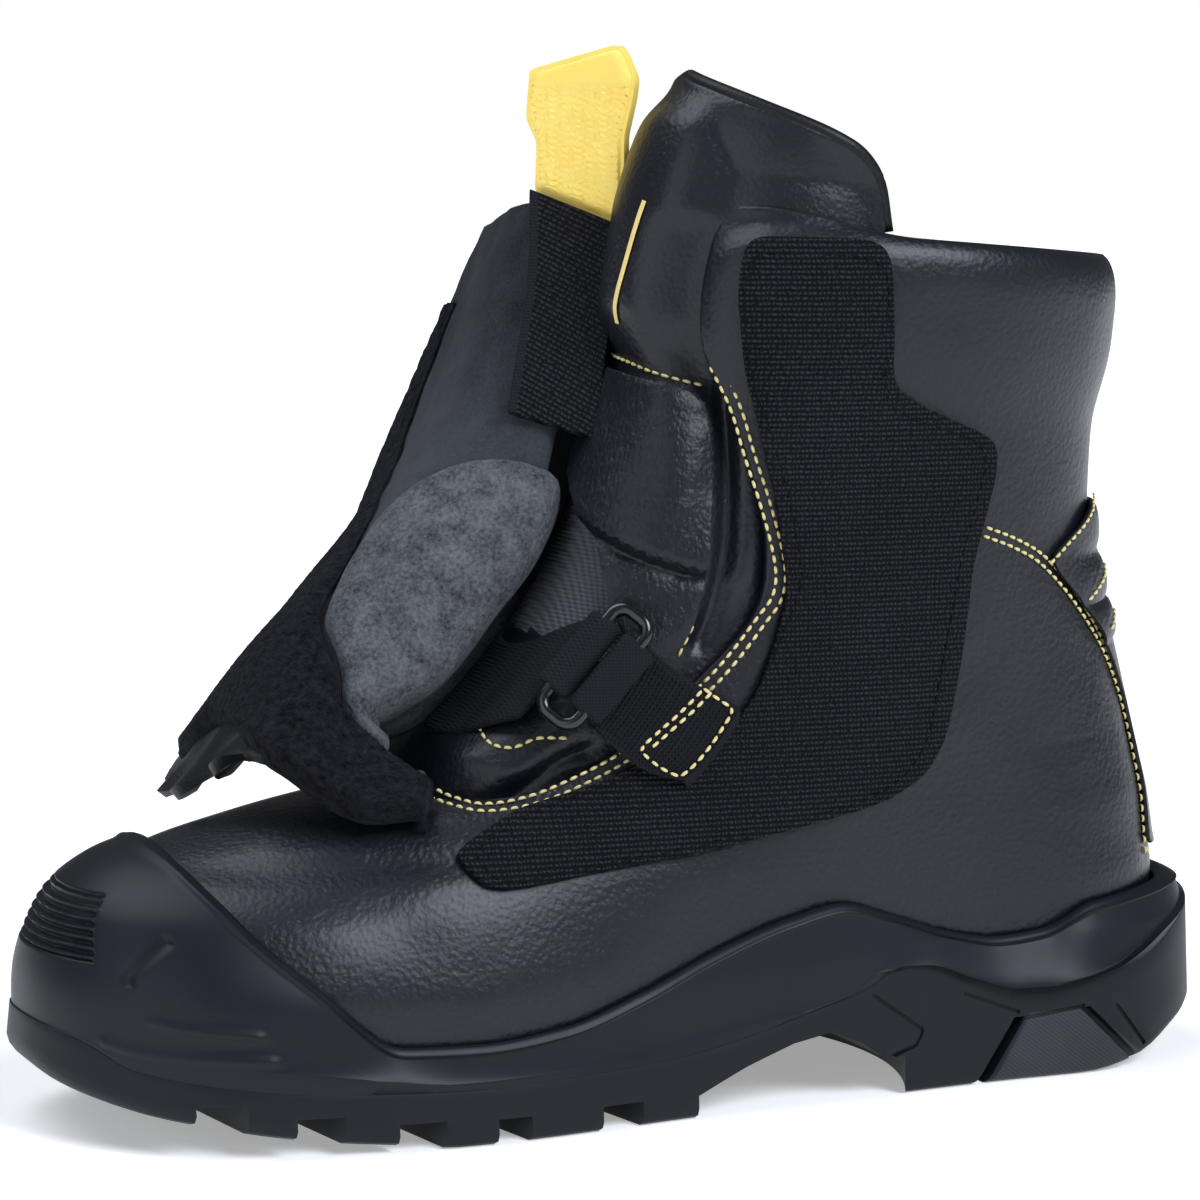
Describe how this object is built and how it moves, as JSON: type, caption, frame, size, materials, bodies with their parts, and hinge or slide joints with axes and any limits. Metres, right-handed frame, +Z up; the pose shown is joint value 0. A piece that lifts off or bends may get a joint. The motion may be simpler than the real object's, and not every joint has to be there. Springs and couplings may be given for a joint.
{
  "type": "foundry boot",
  "caption": "Left foundry boot with ankle-high leather shaft, moulded toe guard, lugged sole, padded tongue and an open quick-release instep flap with pull tab.",
  "frame": {"origin": "on the flat rest face of the heel, under the middle of the heel's width", "axes": "+X towards the toe, +Y towards the outer side of the foot, +Z up"},
  "size_m": [0.3062, 0.1405, 0.2538],
  "materials": {
    "sole_rubber": "matt blue-black rubber",
    "midsole_foam": "fine-grained moulded polyurethane",
    "upper_leather": "grained black leather with a satin face",
    "tongue_leather": "soft creased black leather",
    "flap_leather": "black leather with dark grey lining",
    "insole_cloth": "matt footbed cloth",
    "hook_tape": "black hook tape",
    "pile_tape": "black pile tape",
    "pad_suede": "grey suede",
    "strap_webbing": "ribbed black webbing",
    "ring_steel": "black coated wire",
    "pull_tab_plastic": "warm yellow moulded plastic"
  },
  "bodies": {
    "root": {"outsole": "sole_rubber", "midsole": "midsole_foam", "upper": "upper_leather", "tongue": "tongue_leather", "insole": "insole_cloth", "fastener_patch": "hook_tape", "back_stay": "upper_leather", "flap": "flap_leather", "flap_pad": "pad_suede", "flap_loop_band": "pile_tape", "closing_strap": "hook_tape", "pull_tab": "pull_tab_plastic", "instep_strap": "strap_webbing", "strap_ring": "ring_steel", "ring_tab": "strap_webbing"}
  },
  "joints": []
}
